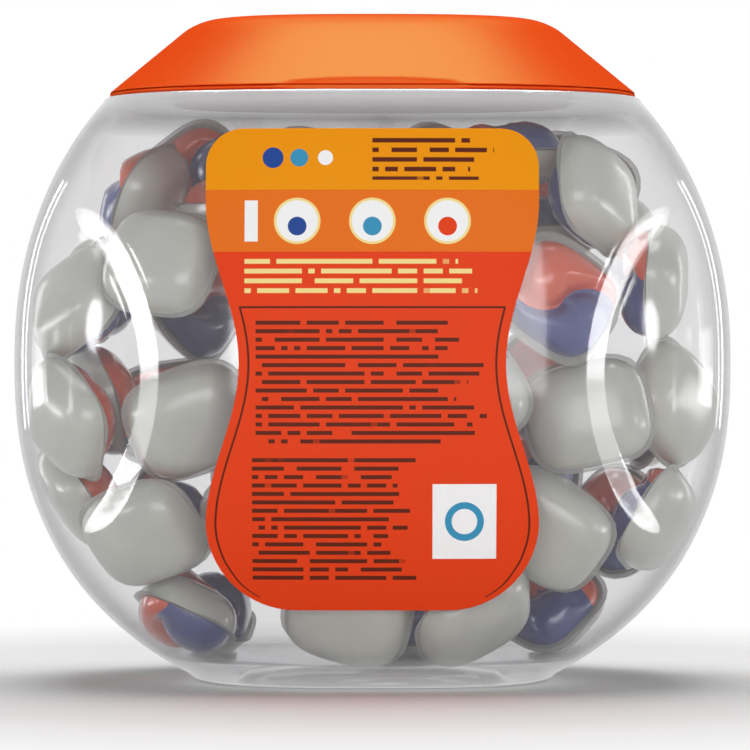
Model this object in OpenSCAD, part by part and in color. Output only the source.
// Laundry pod tub: a clear bulging jar with side grips, a flip-top closure and the pods in it.
// Millimetres. The base stands on Z = 0, X runs across the front and the label faces -Y.

/* [Jar] */
// Width of the jar at its widest level
jar_w = 200; // [170:1:230]
// Depth of the jar, front to back, at its widest level
jar_d = 125; // [110:1:150]
// Height of the widest level above the table
waist_z = 89; // [80:1:100]
// Height of the shoulder that the closure sits on
shoulder_z = 161; // [150:1:180]
// Width of the shoulder
shoulder_w = 150.4; // [140:0.2:160]
// Depth of the shoulder
shoulder_d = 101; // [94:0.5:108]
// Width of the jar's foot
base_w = 94; // [80:1:110]
// Depth of the jar's foot
base_d = 84; // [74:1:96]
// Wall thickness
wall = 1.1; // [0.8:0.1:2]
// How full the side view is above the waist, 2 is a plain ellipse
bulge_up = 2.18; // [2:0.02:3]
// How full the side view is below the waist
bulge_low = 2.4; // [2:0.02:3]
// How square the jar is seen from above, 2 is an ellipse
squareness = 2.8; // [2:0.1:4]
// Height of the push-up under the base
push_up = 3; // [1:0.5:6]

/* [Grips] */
// Depth of the finger hollow beside the label
grip_deep = 5; // [0:0.5:8]
// Height of the middle of the hollow
grip_z = 85; // [75:1:95]
// Distance of the hollow's near edge from the middle of the label
grip_x = 54; // [48:1:60]
// How much farther out that edge is at the hollow's ends
grip_bow = 15; // [0:1:20]
// Half the height of the hollow
grip_h = 55; // [40:1:60]

/* [Neck] */
// Width of the neck, outside
neck_w = 114; // [100:1:118]
// Depth of the neck, outside
neck_d = 72; // [64:1:78]
// Height of the neck above the shoulder
neck_h = 8; // [5:0.5:10]
// How far the snap bead stands out from the neck
bead = 0.8; // [0.4:0.1:1.2]

/* [Closure] */
// Width of the lid at its lower edge
lid_w = 147.4; // [140:0.2:156]
// Depth of the lid at its lower edge
lid_d = 99; // [92:0.5:106]
// Height of the lid
lid_h = 20.4; // [18:0.2:26]
// How much the lid's sides lean in between edge and top, each side
lid_lean = 24.5; // [10:0.5:26]
// How much the lid's front and back lean in
lid_lean_y = 14; // [8:0.5:20]
// Radius of the lid's upper edge
lid_round = 3.5; // [2:0.5:6]
// Wall of the lid and the collar
shell = 1.5; // [1:0.1:2.5]
// Thickness of the collar's flange, under the lid's edge
flange = 1; // [0.8:0.1:2]
// How far the lid's straight hinge edge is set in from its curve
hinge_flat = 1.2; // [0.6:0.1:2.4]
// Reach of the thumb lip on the side away from the hinge
lip = 4; // [2:0.5:8]
// Half the length of the thumb lip
lip_half = 24; // [14:1:34]
// Width of the plug seal under the lid
plug_wall = 1.2; // [0.8:0.1:2]
// How far the plug seal reaches below the lid's underside
plug_h = 12; // [8:0.5:15]

/* [Label] */
// Half the label's width at its waist
label_waist = 35.5; // [30:0.5:40]
// Half the label's width at its widest
label_wide = 44.5; // [40:0.5:48]
// Height of the label's lower edge
label_z0 = 22; // [15:1:30]
// Height of the label's upper edge
label_z1 = 151; // [140:1:156]
// Radius of the label's upper corners
label_r_up = 10; // [4:1:20]
// Radius of the label's lower corners
label_r_low = 24; // [10:1:34]
// Thickness of the label
label_t = 0.3; // [0.2:0.05:0.6]

/* [Pods] */
// Width of one pod
pod_w = 36; // [32:0.5:40]
// Length of one pod
pod_l = 31; // [28:0.5:36]
// Thickness of one pod
pod_t = 20; // [18:0.5:24]
// How square a pod is seen from its face
pod_square = 3.2; // [2:0.1:5]
// Rows of pods that stand against the wall
pod_rows = 5; // [1:1:5]
// Room left between neighbours
pod_gap = 0.8; // [0.5:0.1:3]

/* [Fits] */
// Room between the jar and what lies against it
ease = 0.25; // [0.1:0.05:0.6]
// Room between collar and neck, and between plug and collar
fit = 0.3; // [0.1:0.05:0.6]

/* [Hidden] */
facets = 52;
pod_facets = 12;
ledge_z = shoulder_z + 1;
neck_z = ledge_z + neck_h;
collar_z0 = ledge_z + 0.1;
lid_z0 = collar_z0 + flange + 0.2;
lid_z1 = lid_z0 + lid_h;
hinge_y = lid_d / 2 - hinge_flat;
under_z = lid_z1 - shell;
floor_z = push_up + wall;

// The jar's form: half sizes at a height, for a surface set in from the outside by "inset"
function swell(z, full, top, base, inset) =
    let (up = z > waist_z,
         rise = up ? shoulder_z - waist_z : waist_z,
         k = (up ? top : base) / full,
         q = up ? bulge_up : bulge_low,
         reach = rise / pow(1 - k * k, 1 / q) - inset,
         s = abs(z - waist_z) / reach)
    s >= 1 ? 0 : (full / 2 - inset) * sqrt(1 - pow(s, q));
function wide(z, inset) = swell(z, jar_w, shoulder_w, base_w, inset);
function deep(z, inset) = swell(z, jar_d, shoulder_d, base_d, inset);
function smooth(t) = let (c = min(max(t, 0), 1)) c * c * (3 - 2 * c);

// The finger hollows, as a depth taken off front and back at a point of the front view
function grip_edge(z) = grip_x + grip_bow * pow((z - grip_z) / (0.75 * grip_h), 2);
function grip(x, z) =
    grip_deep * smooth((abs(x) - grip_edge(z)) / 10)
    * (1 - smooth((abs(z - grip_z) / grip_h - 0.6) / 0.4))
    * (1 - smooth((abs(x) - jar_w / 2 + 18) / 16));

// A point of a rounded section, and whole rings of them
function around(a, b, u) =
    let (k = pow(pow(abs(cos(u)), squareness) + pow(abs(sin(u)), squareness), 1 / squareness))
    [a * cos(u) / k, b * sin(u) / k];
function ring(a, b, z) = [for (i = [0:facets - 1])
    let (p = around(a, b, 360 * i / facets)) [p[0], p[1], z]];
function body_ring(z, inset) = [for (p = ring(wide(z, inset), deep(z, inset), z))
    [p[0], p[1] - sign(p[1]) * min(grip(p[0], z), abs(p[1]) / 3), z]];

// A skin over rings that run anticlockwise round the solid's half section
module skin(rings, closed = false) {
    n = len(rings[0]);
    m = len(rings);
    sides = [for (j = [0:closed ? m - 1 : m - 2], i = [0:n - 1], s = [0, 1])
        let (k = (j + 1) % m, h = (i + 1) % n)
        s == 0 ? [j * n + i, k * n + i, k * n + h] : [j * n + i, k * n + h, j * n + h]];
    caps = closed ? [] : [[for (i = [0:n - 1]) i], [for (i = [n - 1:-1:0]) (m - 1) * n + i]];
    polyhedron([for (r = rings) each r], concat(caps, sides));
}

// The jar: foot, bulging body with grips, ledge, snap neck and mouth, one blown shell
foot = 4;
outer_levels = [2, 6, 13, 23, 34, 46, 58, 71, 84, 97, 110, 122, 134, 145, 154, shoulder_z];
inner_levels = [shoulder_z - wall, 150, 136, 120, 104, 88, 72, 56, 41, 29, 20, 13, 8.5, floor_z + 1];
module jar() {
    color([0.85, 0.9, 0.92, 0.35])
    skin(concat(
        [ring(10, 9, push_up)],
        [ring(base_w / 2 - foot - 7, base_d / 2 - foot - 7, 1)],
        [ring(base_w / 2 - foot - 5, base_d / 2 - foot - 5, 0)],
        [ring(base_w / 2 - foot, base_d / 2 - foot, 0)],
        [for (z = outer_levels) body_ring(z, 0)],
        [ring(shoulder_w / 2 - 1, shoulder_d / 2 - 1, ledge_z)],
        [ring(neck_w / 2, neck_d / 2, ledge_z)],
        [ring(neck_w / 2, neck_d / 2, ledge_z + neck_h / 2)],
        [ring(neck_w / 2 + bead, neck_d / 2 + bead, ledge_z + neck_h / 2 + bead)],
        [ring(neck_w / 2, neck_d / 2, neck_z - 0.6)],
        [ring(neck_w / 2 - 0.4, neck_d / 2 - 0.4, neck_z)],
        [ring(neck_w / 2 - wall, neck_d / 2 - wall, neck_z)],
        [ring(neck_w / 2 - wall, neck_d / 2 - wall, ledge_z - wall)],
        [for (z = inner_levels) body_ring(z, wall)],
        [ring(10, 9, floor_z)]));
}

// The printed label: a film on the near face, waisted like the grips beside it
function corner(d, r) = d >= r ? 0 : r - sqrt(r * r - (r - d) * (r - d));
function label_half(z) =
    let (mid = grip_z + 3, t = min(1, abs(z - mid) / 44))
    label_waist + (label_wide - label_waist) * (1 - cos(180 * t)) / 2
    - corner(label_z1 - z, label_r_up) - corner(z - label_z0, label_r_low);
function face_y(x, z) =
    deep(z, 0) * pow(1 - pow(abs(x) / wide(z, 0), squareness), 1 / squareness) - grip(x, z);
label_levels = [0, 0.02, 0.06, 0.11, 0.18, 0.26, 0.36, 0.46, 0.56, 0.66, 0.76, 0.86, 0.93, 0.97, 1];
label_across = [for (i = [-4:4]) i / 4];
function label_row(z, off) = [for (u = label_across) let (x = u * label_half(z))
    [x, -face_y(x, z) - off, z]];
module label() {
    color([0.91, 0.35, 0.12])
    skin([for (t = label_levels) let (z = label_z0 + t * (label_z1 - label_z0))
        concat(label_row(z, ease + label_t),
            [for (i = [len(label_across) - 1:-1:0]) label_row(z, ease)[i]])]);
}

// The collar: a ring snapped over the neck, with the flange that the lid closes on
function back_flat(r) = [for (p = r) [p[0], max(p[1], -hinge_y), p[2]]];
collar_in = neck_w / 2 + bead + fit;
collar_deep = neck_d / 2 + bead + fit;
mouth_in = neck_w / 2 - wall - fit;
mouth_deep = neck_d / 2 - wall - fit;
module collar() {
    top = neck_z + 0.2 + flange;
    color([0.86, 0.28, 0.08])
    skin([
        back_flat(ring(neck_w / 2 + fit, neck_d / 2 + fit, collar_z0)),
        back_flat(ring(lid_w / 2 - 0.2, lid_d / 2 - 0.2, collar_z0)),
        back_flat(ring(lid_w / 2 - 0.2, lid_d / 2 - 0.2, collar_z0 + flange)),
        ring(collar_in + shell, collar_deep + shell, collar_z0 + flange),
        ring(collar_in + shell, collar_deep + shell, top - 1),
        ring(collar_in, collar_deep, top),
        ring(mouth_in, mouth_deep, top),
        ring(mouth_in, mouth_deep, neck_z + 0.2),
        ring(collar_in, collar_deep, neck_z + 0.2),
        ring(collar_in, collar_deep, ledge_z + neck_h / 2 + 0.3),
        ring(neck_w / 2 + fit, neck_d / 2 + fit, ledge_z + neck_h / 2 - 0.5)], closed = true);
}

// The lid: a leaning skirt with a round upper edge, a plug seal inside and a thumb lip
function lid_lip(x, h) = abs(x) < lip_half && h < 4 ?
    lip * pow(cos(90 * x / lip_half), 2) * (1 - smooth((h - 1.5) / 2.5)) : 0;
function lid_ring(inset, h, lips = 0) =
    let (a = lid_w / 2 - lid_lean * h / lid_h - inset,
         b = lid_d / 2 - lid_lean_y * h / lid_h - inset)
    [for (p = ring(a, b, lid_z0 + h))
        [p[0], max(p[1], -hinge_y + inset) + (p[1] > 0 ? lips * lid_lip(p[0], h) : 0), p[2]]];
module lid() {
    plug_a = mouth_in - fit;
    plug_b = mouth_deep - fit;
    tip = under_z - plug_h;
    color([0.93, 0.36, 0.12])
    skin(concat(
        [ring(plug_a / 3, plug_b / 3, under_z)],
        [ring(plug_a - plug_wall - 12, plug_b - plug_wall - 12, under_z)],
        [ring(plug_a - plug_wall - 8, plug_b - plug_wall - 8, under_z - 1)],
        [ring(plug_a - plug_wall - 0.7, plug_b - plug_wall - 0.7, tip)],
        [ring(plug_a - 0.7, plug_b - 0.7, tip)],
        [ring(plug_a, plug_b, tip + 4)],
        [ring(plug_a - 6, plug_b - 6, under_z - 2)],
        [lid_ring(shell * 1.4, lid_h * 0.66)],
        [lid_ring(shell * 1.4, 0)],
        [lid_ring(0, 0, 1)],
        [lid_ring(0, 1.5, 1)],
        [lid_ring(0, 4)],
        [lid_ring(0, lid_h - lid_round * 1.1)],
        [for (t = [20:20:80]) lid_ring(lid_round * 1.2 * (1 - cos(t)), lid_h - lid_round * (1 - sin(t)))],
        [lid_ring(lid_round * 1.2 + 2, lid_h)],
        [ring(lid_w / 6, lid_d / 6, lid_z1)]));
}

// One pod: a pillow of filled film, flatter under its three chambers than over its base
function pillow(s) = [for (i = [0:pod_facets - 1])
    let (u = 360 * (i + 0.5) / pod_facets,
         k = pow(pow(abs(cos(u)), pod_square) + pow(abs(sin(u)), pod_square), 1 / pod_square))
    [s[0] * pod_w / 2 * cos(u) / k, s[0] * pod_l / 2 * sin(u) / k, s[1] * pod_t / 2]];
pillow_section = [[0.38, -1], [0.78, -0.7], [1, 0], [0.8, 0.62], [0.38, 1]];
module pod() {
    skin([for (s = pillow_section) pillow(s)]);
}

// How each pod in turn leans, in degrees: turned on its own face, tipped, and swung sideways
habits = [[-18, 6, -12], [28, -12, 24], [-32, 10, 8], [12, -8, -30], [38, 8, 32], [-8, -14, -8],
    [22, 12, 18], [-36, 0, -34], [6, -6, 4], [-24, 14, 26], [34, -10, -18]];
function habit(i, row) = habits[(i * 4 + row * 3) % len(habits)];

// A pod's own axes, as the rows of a matrix, and points of its skin where it stands
function axes(a) = let (c = [for (v = a) cos(v)], s = [for (v = a) sin(v)]) [
    [c[0] * c[1] * c[2] - s[0] * s[2], s[0] * c[1] * c[2] + c[0] * s[2], -s[1] * c[2]],
    [-c[0] * c[1] * s[2] - s[0] * c[2], c[0] * c[2] - s[0] * c[1] * s[2], s[1] * s[2]],
    [c[0] * s[1], s[0] * s[1], c[1]]];
rim_marks = [for (i = [0:pod_facets - 1]) pillow([1, 0])[i]];
face_marks = [for (s = [[0.79, -0.66], [0.79, 0.66], [0.3, -1], [0.3, 1]], i = [0:2:pod_facets - 1])
    pillow(s)[i]];
marks = concat(rim_marks, face_marks);
function set_down(c, a) = let (m = axes(a)) [c, a, m, [for (v = marks) c + v * m]];

// Whether a point is inside a pod, whose thickness falls away towards its rim
touch = 0.2;
fall = [[0, 1], [pow(0.38, pod_square), 1], [pow(0.79, pod_square), 0.66], [1, 0]];
function in_pod(k, p) =
    let (q = k[2] * (p - k[0]),
         s = pow(abs(q[0]) / (pod_w / 2 + touch), pod_square)
             + pow(abs(q[1]) / (pod_l / 2 + touch), pod_square))
    s < 1 && abs(q[2]) < pod_t / 2 * lookup(s, fall) + touch;
function hits(k, m, i = 0) = i == len(m[3]) ? false : in_pod(k, m[3][i]) ? true : hits(k, m, i + 1);
function meets(k, m) = norm(k[0] - m[0]) < pod_w + 3 && (hits(k, m) || hits(m, k));
function clear_of(kept, m, i = 0) = i == len(kept) ? true : meets(kept[i], m) ? false : clear_of(kept, m, i + 1);

// Whether a pod is clear of the jar, tried with balls that fill it
lane = wall + pod_t / 2 + 2;
wall_ease = ease - 0.1;
function dome(t) = pow(1 - pow(abs(t), 5), 0.6);
function ball(u, v) = [u * (pod_w / 2 - 4.7), v * (pod_l / 2 - 4.7),
    pod_t / 2 * max(0.2, dome(0.93 * u) * dome(0.93 * v))];
balls = [for (u = [-1:0.5:1], v = [-1:0.5:1]) ball(u, v)];
function lane_at(u, z) = around(wide(z, lane), deep(z, lane), u);
function facing(u, z) = let (p = lane_at(u - 1, z), q = lane_at(u + 1, z)) atan2(p[0] - q[0], q[1] - p[1]);
function slope(u, z) = let (p = lane_at(u, z - 3), q = lane_at(u, z + 3))
    atan2(norm(q) - norm(p), 6);
function grip_near(x, z, r) =
    max([for (d = [[0, 0], [r, 0], [-r, 0], [0, r], [0, -r]]) grip(abs(x) + 0.4 * d[0], z + 0.4 * d[1])]);
function filled(x, y, a, b) = pow(pow(x / a, squareness) + pow(y / b, squareness), 1 / squareness);
function fill_at(p, r) = filled(abs(p[0]), abs(p[1]) + grip_near(p[0], p[2], r),
    wide(p[2], wall), deep(p[2], wall));
function in_jar(p, r) =
    let (a = wide(p[2], wall), b = deep(p[2], wall), f = fill_at(p, r))
    p[2] - r < floor_z + 0.2 || p[2] + r > ledge_z - wall - 0.3 || f > 1 ? false :
    let (n = [sign(p[0]) * pow(abs(p[0]) / a / f, squareness - 1) / a,
              sign(p[1]) * pow(abs(p[1]) / b / f, squareness - 1) / b,
              fill_at(p + [0, 0, 1], r) - f])
    fill_at(p + (r + wall_ease) * n / norm(n), r) <= 1;
function all_in_jar(m, i = 0) = i == len(balls) ? true :
    in_jar(m[0] + [balls[i][0], balls[i][1], 0] * m[2], balls[i][2]) ? all_in_jar(m, i + 1) : false;
function free(c, a, kept) = let (m = set_down(c, a)) clear_of(kept, m) && all_in_jar(m);

// A pod slides along "way" from a clear place as far as it can: near and far close in on the stop
function slid(c, way, near, far, a, kept, n = 6) =
    n == 0 ? c + near * way :
    let (m = (near + far) / 2)
    free(c + m * way, a, kept) ? slid(c, way, m, far, a, kept, n - 1) : slid(c, way, near, m, a, kept, n - 1);

// Places: each row is walked round the wall, a pod's width at a time
row_z = [for (r = [0:pod_rows - 1]) floor_z + pod_l / 2 + 3 + r * (pod_l - 2)];
row_start = [-97, -78, -99, -81, -100];
function walk(row, u, last, i, first) =
    let (z = row_z[row], c = lane_at(u, z))
    u >= row_start[row] + 360 || (i > 2 && u > row_start[row] + 270 && norm(c - first) < pod_w + pod_gap) ? [] :
    i > 0 && norm(c - last) < pod_w + pod_gap ? walk(row, u + 1, last, i, first) :
    concat([u], walk(row, u + 8, c, i + 1, i == 0 ? c : first));

// A pod is let in at the first place that is clear, goes out to the wall, sinks and goes out again
function first_free(tries, a, kept, i = 0) =
    i == len(tries) ? [] : free(tries[i], a, kept) ? [tries[i]] : first_free(tries, a, kept, i + 1);
function stood(row, u, i, kept) =
    let (z = row_z[row], h = habit(i, row), out = facing(u, z),
         a = [out + h[2], 90 + slope(u, z) + h[1], 90 + h[0]],
         way = [cos(out), sin(out), 0],
         p = lane_at(u, z),
         q = lane_at(u, z - 8),
         sink = ([q[0], q[1], z - 8] - [p[0], p[1], z]) / 8,
         found = first_free([for (up = [0, 4, 8, 12], back = [5, 11]) [p[0], p[1], z + up] - back * way], a, kept))
    len(found) == 0 ? [] :
    let (sunk = slid(found[0], sink, 0, 14, a, kept),
         out_once = slid(sunk, way, 0, 14, a, kept),
         sunk_again = slid(out_once, sink - 0.15 * way, 0, 6, a, kept))
    [set_down(slid(sunk_again, way, 0, 6, a, kept), a)];
wall_places = [for (row = [0:pod_rows - 1]) let (us = walk(row, row_start[row], [0, 0], 0, [0, 0]))
    for (i = [0:len(us) - 1]) [row, us[i], i]];
function standing(i = 0, kept = []) = i == len(wall_places) ? kept :
    let (w = wall_places[i]) standing(i + 1, concat(kept, stood(w[0], w[1], w[2], kept)));

// The pods that lie on top go in from just under the ledge, sink, and slide outward or to the label
top_z = ledge_z - wall - pod_t / 2 - 2;
top_places = [
    for (x = [-0.5, 0.5, -1.5, 1.5]) [x, -15, [0, -1, 0]],
    for (x = [-0.5, 0.5, -1.5, 1.5]) [x, 15, [0, 1, 0]],
    for (x = [-1, 1]) [1.25 * x, 0, [x, 0, 0]],
    for (x = [0, -1, 1]) [x, 0, [0, -1, 0]]];
function lying(i, kept) =
    i == len(top_places) ? kept :
    let (t = top_places[i],
         h = habit(i, pod_rows),
         a = [h[0], 180 * (i % 2) + h[1] / 3, 0],
         c = [t[0] * (pod_w + pod_gap), t[1], top_z])
    lying(i + 1, !free(c, a, kept) ? kept :
        let (sunk = slid(c, [0, 0, -1], 0, 30, a, kept))
        concat(kept, [set_down(slid(sunk, t[2], 0, 30, a, kept), a)]));
pods = lying(0, standing());

function pod_name(i) = str("pod_", i < 9 ? "0" : "", i + 1);

jar();
label();
collar();
lid();
for (i = [0:len(pods) - 1]) place(pods[i]);

module place(p) {
    color([0.62, 0.64, 0.72])
    translate(p[0]) rotate([0, 0, p[1][0]]) rotate([0, p[1][1], 0]) rotate([0, 0, p[1][2]]) pod();
}
